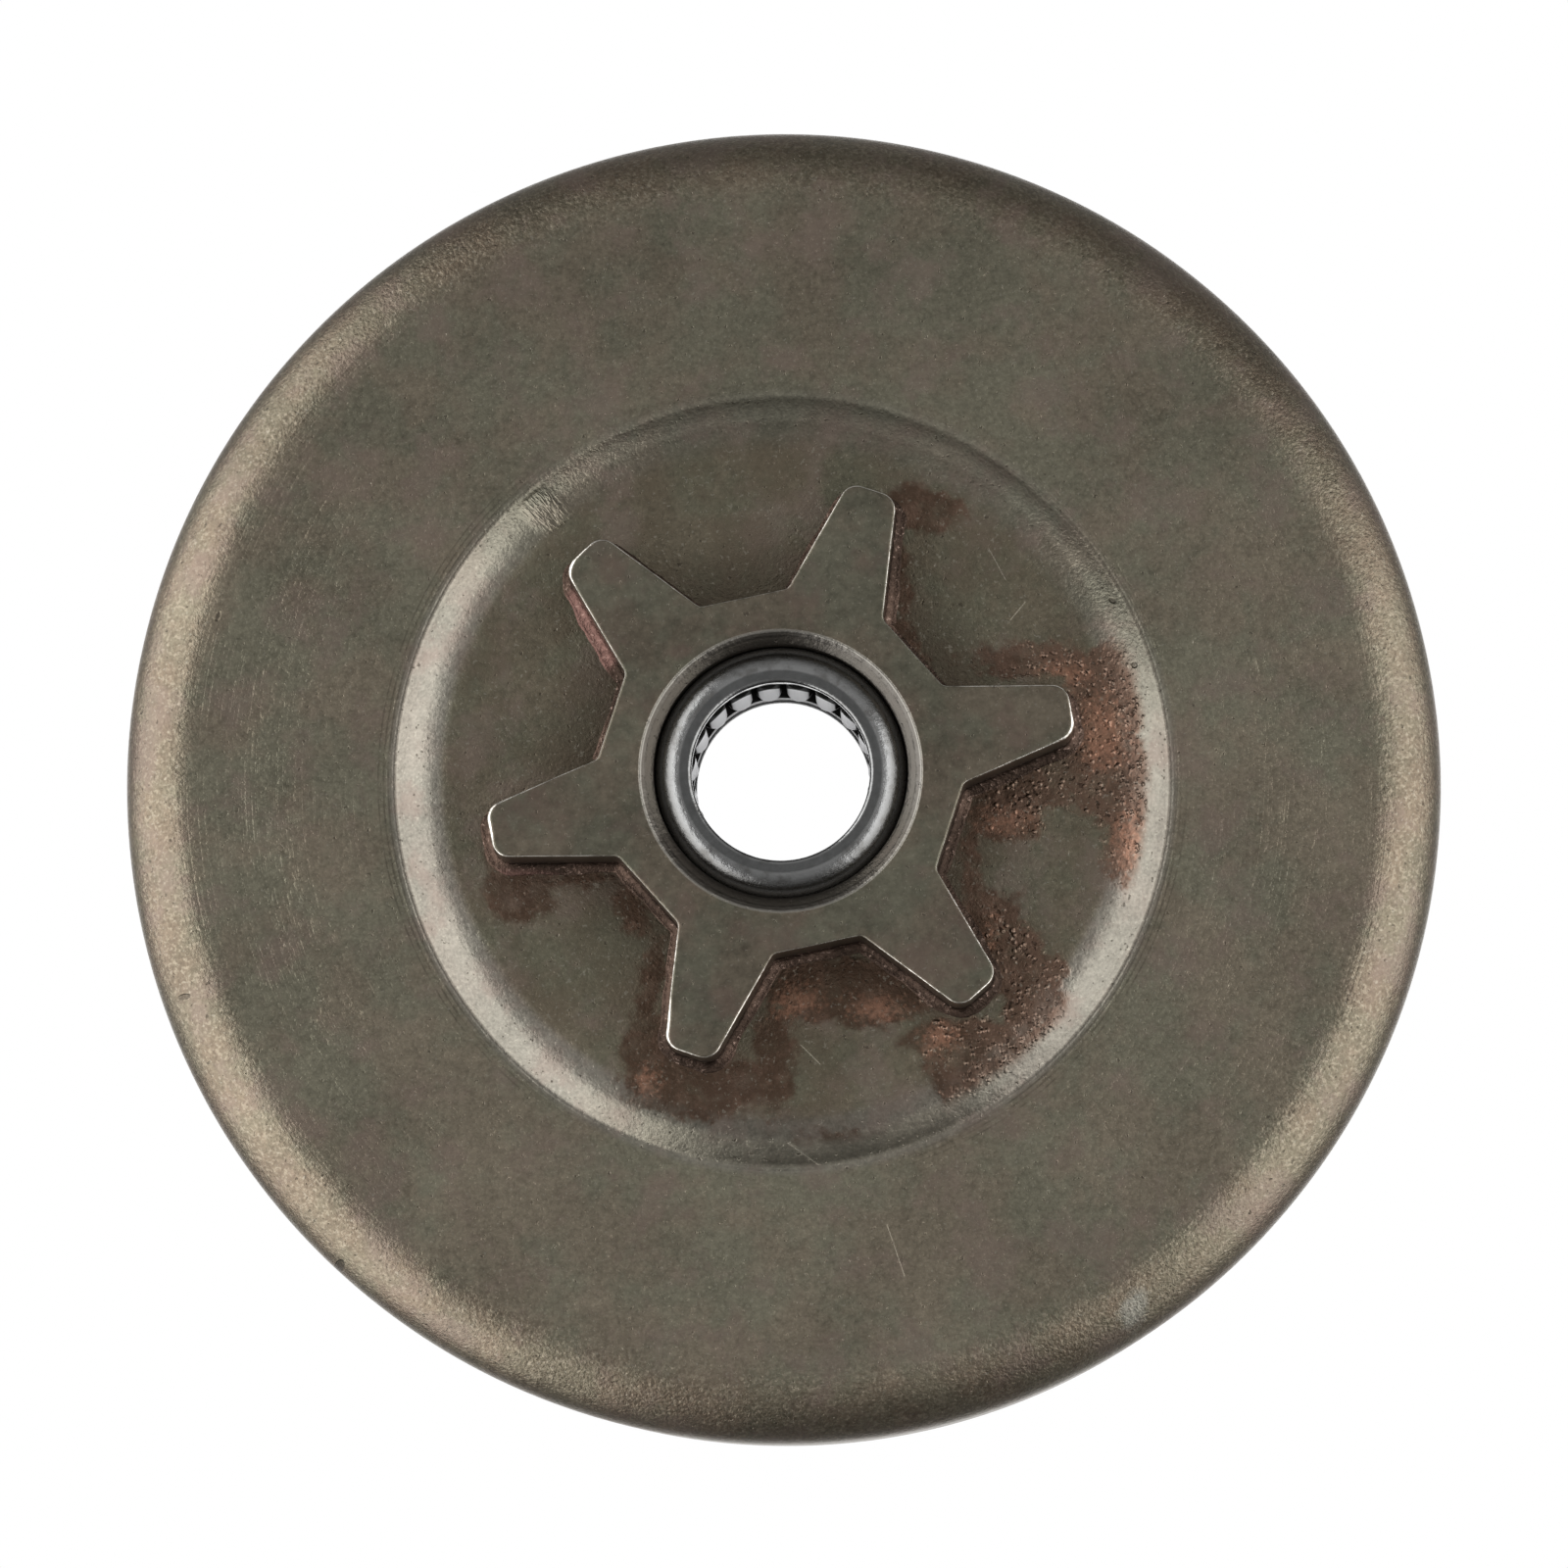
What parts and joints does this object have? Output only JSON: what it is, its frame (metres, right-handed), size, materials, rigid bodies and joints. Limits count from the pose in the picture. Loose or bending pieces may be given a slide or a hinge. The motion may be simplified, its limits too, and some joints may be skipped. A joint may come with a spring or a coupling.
{
  "type": "chainsaw clutch drum",
  "caption": "Chainsaw clutch drum: a pressed steel cup with a raised centre, a star sprocket brazed to its face and a caged needle bearing in the bore.",
  "frame": {"origin": "centre of the open rim, in the plane the drum stands on", "axes": "+Z along the bore axis towards the sprocket; +X through the middle of one sprocket tooth"},
  "size_m": [0.0686, 0.0686, 0.0258],
  "materials": {
    "drum_steel": "dark oiled steel, satin, with fine pits",
    "sprocket_steel": "dark oiled steel with bright rubbed edges",
    "braze_copper": "dull grainy copper braze",
    "bearing_steel": "polished hardened steel",
    "cage_steel": "grey steel",
    "roller_steel": "polished"
  },
  "bodies": {
    "drum": {"drum_cup": "drum_steel", "sprocket": "sprocket_steel", "braze_fillet": "braze_copper", "bearing_shell": "bearing_steel"},
    "cage": {"bearing_cage": "cage_steel"},
    "roller_01": {"needle_roller_01": "roller_steel"},
    "roller_02": {"needle_roller_02": "roller_steel"},
    "roller_03": {"needle_roller_03": "roller_steel"},
    "roller_04": {"needle_roller_04": "roller_steel"},
    "roller_05": {"needle_roller_05": "roller_steel"},
    "roller_06": {"needle_roller_06": "roller_steel"},
    "roller_07": {"needle_roller_07": "roller_steel"},
    "roller_08": {"needle_roller_08": "roller_steel"},
    "roller_09": {"needle_roller_09": "roller_steel"},
    "roller_10": {"needle_roller_10": "roller_steel"},
    "roller_11": {"needle_roller_11": "roller_steel"},
    "roller_12": {"needle_roller_12": "roller_steel"},
    "roller_13": {"needle_roller_13": "roller_steel"},
    "roller_14": {"needle_roller_14": "roller_steel"},
    "roller_15": {"needle_roller_15": "roller_steel"},
    "roller_16": {"needle_roller_16": "roller_steel"},
    "roller_17": {"needle_roller_17": "roller_steel"},
    "roller_18": {"needle_roller_18": "roller_steel"},
    "roller_19": {"needle_roller_19": "roller_steel"},
    "roller_20": {"needle_roller_20": "roller_steel"}
  },
  "joints": [
    {"name": "cage_spin", "type": "hinge", "parent": "drum", "child": "cage", "pos_m": [0, 0, 0.0195], "axis": [0, 0, 1], "continuous": true},
    {"name": "roller_01_spin", "type": "hinge", "parent": "cage", "child": "roller_01", "pos_m": [0.00503, 0.0013, 0.0195], "axis": [0, 0, 1], "continuous": true},
    {"name": "roller_02_spin", "type": "hinge", "parent": "cage", "child": "roller_02", "pos_m": [0.00439, 0.00279, 0.0195], "axis": [0, 0, 1], "continuous": true},
    {"name": "roller_03_spin", "type": "hinge", "parent": "cage", "child": "roller_03", "pos_m": [0.00331, 0.00401, 0.0195], "axis": [0, 0, 1], "continuous": true},
    {"name": "roller_04_spin", "type": "hinge", "parent": "cage", "child": "roller_04", "pos_m": [0.00191, 0.00484, 0.0195], "axis": [0, 0, 1], "continuous": true},
    {"name": "roller_05_spin", "type": "hinge", "parent": "cage", "child": "roller_05", "pos_m": [0.00032, 0.00519, 0.0195], "axis": [0, 0, 1], "continuous": true},
    {"name": "roller_06_spin", "type": "hinge", "parent": "cage", "child": "roller_06", "pos_m": [-0.0013, 0.00503, 0.0195], "axis": [0, 0, 1], "continuous": true},
    {"name": "roller_07_spin", "type": "hinge", "parent": "cage", "child": "roller_07", "pos_m": [-0.00279, 0.00439, 0.0195], "axis": [0, 0, 1], "continuous": true},
    {"name": "roller_08_spin", "type": "hinge", "parent": "cage", "child": "roller_08", "pos_m": [-0.00401, 0.00331, 0.0195], "axis": [0, 0, 1], "continuous": true},
    {"name": "roller_09_spin", "type": "hinge", "parent": "cage", "child": "roller_09", "pos_m": [-0.00484, 0.00191, 0.0195], "axis": [0, 0, 1], "continuous": true},
    {"name": "roller_10_spin", "type": "hinge", "parent": "cage", "child": "roller_10", "pos_m": [-0.00519, 0.00032, 0.0195], "axis": [0, 0, 1], "continuous": true},
    {"name": "roller_11_spin", "type": "hinge", "parent": "cage", "child": "roller_11", "pos_m": [-0.00503, -0.0013, 0.0195], "axis": [0, 0, 1], "continuous": true},
    {"name": "roller_12_spin", "type": "hinge", "parent": "cage", "child": "roller_12", "pos_m": [-0.00439, -0.00279, 0.0195], "axis": [0, 0, 1], "continuous": true},
    {"name": "roller_13_spin", "type": "hinge", "parent": "cage", "child": "roller_13", "pos_m": [-0.00331, -0.00401, 0.0195], "axis": [0, 0, 1], "continuous": true},
    {"name": "roller_14_spin", "type": "hinge", "parent": "cage", "child": "roller_14", "pos_m": [-0.00191, -0.00484, 0.0195], "axis": [0, 0, 1], "continuous": true},
    {"name": "roller_15_spin", "type": "hinge", "parent": "cage", "child": "roller_15", "pos_m": [-0.00032, -0.00519, 0.0195], "axis": [0, 0, 1], "continuous": true},
    {"name": "roller_16_spin", "type": "hinge", "parent": "cage", "child": "roller_16", "pos_m": [0.0013, -0.00503, 0.0195], "axis": [0, 0, 1], "continuous": true},
    {"name": "roller_17_spin", "type": "hinge", "parent": "cage", "child": "roller_17", "pos_m": [0.00279, -0.00439, 0.0195], "axis": [0, 0, 1], "continuous": true},
    {"name": "roller_18_spin", "type": "hinge", "parent": "cage", "child": "roller_18", "pos_m": [0.00401, -0.00331, 0.0195], "axis": [0, 0, 1], "continuous": true},
    {"name": "roller_19_spin", "type": "hinge", "parent": "cage", "child": "roller_19", "pos_m": [0.00484, -0.00191, 0.0195], "axis": [0, 0, 1], "continuous": true},
    {"name": "roller_20_spin", "type": "hinge", "parent": "cage", "child": "roller_20", "pos_m": [0.00519, -0.00032, 0.0195], "axis": [0, 0, 1], "continuous": true}
  ],
  "couplings": [
    {"joint": "roller_01_spin", "follows": "cage_spin", "ratio": -8.4286},
    {"joint": "roller_02_spin", "follows": "cage_spin", "ratio": -8.4286},
    {"joint": "roller_03_spin", "follows": "cage_spin", "ratio": -8.4286},
    {"joint": "roller_04_spin", "follows": "cage_spin", "ratio": -8.4286},
    {"joint": "roller_05_spin", "follows": "cage_spin", "ratio": -8.4286},
    {"joint": "roller_06_spin", "follows": "cage_spin", "ratio": -8.4286},
    {"joint": "roller_07_spin", "follows": "cage_spin", "ratio": -8.4286},
    {"joint": "roller_08_spin", "follows": "cage_spin", "ratio": -8.4286},
    {"joint": "roller_09_spin", "follows": "cage_spin", "ratio": -8.4286},
    {"joint": "roller_10_spin", "follows": "cage_spin", "ratio": -8.4286},
    {"joint": "roller_11_spin", "follows": "cage_spin", "ratio": -8.4286},
    {"joint": "roller_12_spin", "follows": "cage_spin", "ratio": -8.4286},
    {"joint": "roller_13_spin", "follows": "cage_spin", "ratio": -8.4286},
    {"joint": "roller_14_spin", "follows": "cage_spin", "ratio": -8.4286},
    {"joint": "roller_15_spin", "follows": "cage_spin", "ratio": -8.4286},
    {"joint": "roller_16_spin", "follows": "cage_spin", "ratio": -8.4286},
    {"joint": "roller_17_spin", "follows": "cage_spin", "ratio": -8.4286},
    {"joint": "roller_18_spin", "follows": "cage_spin", "ratio": -8.4286},
    {"joint": "roller_19_spin", "follows": "cage_spin", "ratio": -8.4286},
    {"joint": "roller_20_spin", "follows": "cage_spin", "ratio": -8.4286}
  ]
}
